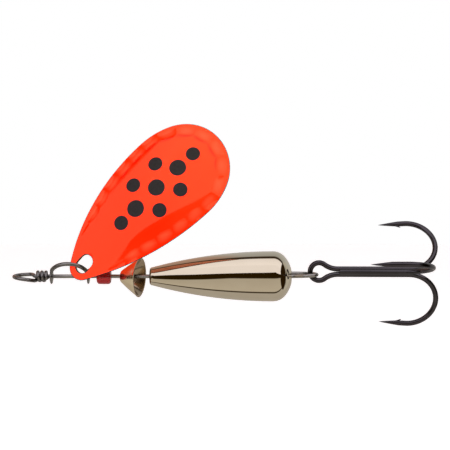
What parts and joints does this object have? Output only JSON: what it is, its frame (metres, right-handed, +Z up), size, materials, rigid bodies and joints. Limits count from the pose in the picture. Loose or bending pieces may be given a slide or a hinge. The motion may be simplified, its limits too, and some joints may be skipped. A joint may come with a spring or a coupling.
{
  "type": "inline spinner lure",
  "caption": "Inline spinner lure: a wire shaft with a clevis-hung spotted blade, tube bead, open cup, teardrop weight and treble hook.",
  "frame": {"origin": "centre of the line-tie eye, on the axis of the straight shaft", "axes": "+X along the shaft from the line tie to the hook, +Z up, -Y the side the blade rests on"},
  "size_m": [0.0725, 0.0162, 0.0347],
  "materials": {
    "spring_wire": "drawn, grey",
    "clevis_plating": "dark nickel",
    "blade_paint": "fluorescent orange-red with dark spots",
    "red_bead": "translucent red",
    "cup_brass": "bright",
    "weight_brass": "polished",
    "hook_plating": "black nickel"
  },
  "bodies": {
    "wireform": {"shaft_wire": "spring_wire"},
    "clevis": {"clevis": "clevis_plating"},
    "blade": {"blade": "blade_paint"},
    "bead": {"bead": "red_bead"},
    "cup": {"bell_cup": "cup_brass"},
    "weight": {"body_weight": "weight_brass"},
    "hook": {"hook_double": "hook_plating", "hook_single": "hook_plating", "hook_braze": "hook_plating"}
  },
  "joints": [
    {"name": "clevis_spin", "type": "hinge", "parent": "wireform", "child": "clevis", "pos_m": [0.00765, 0, 0], "axis": [1, 0, 0], "continuous": true},
    {"name": "blade_swing", "type": "hinge", "parent": "clevis", "child": "blade", "pos_m": [0.00987, -0.00216, 0.00164], "axis": [-0.171, 0.624, -0.7625], "range_deg": [0, 46]},
    {"name": "bead_spin", "type": "hinge", "parent": "wireform", "child": "bead", "pos_m": [0.01344, 0, 0], "axis": [1, 0, 0], "continuous": true},
    {"name": "cup_spin", "type": "hinge", "parent": "wireform", "child": "cup", "pos_m": [0.01637, 0.00018, 0], "axis": [0.969, -0.2416, -0.0523], "continuous": true},
    {"name": "weight_spin", "type": "hinge", "parent": "wireform", "child": "weight", "pos_m": [0.0332, 0, 0], "axis": [1, 0, 0], "continuous": true},
    {"name": "hook_swing", "type": "hinge", "parent": "wireform", "child": "hook", "pos_m": [0.04954, 0, 0.0003], "axis": [0, 1, 0], "range_deg": [-75, 75]}
  ]
}
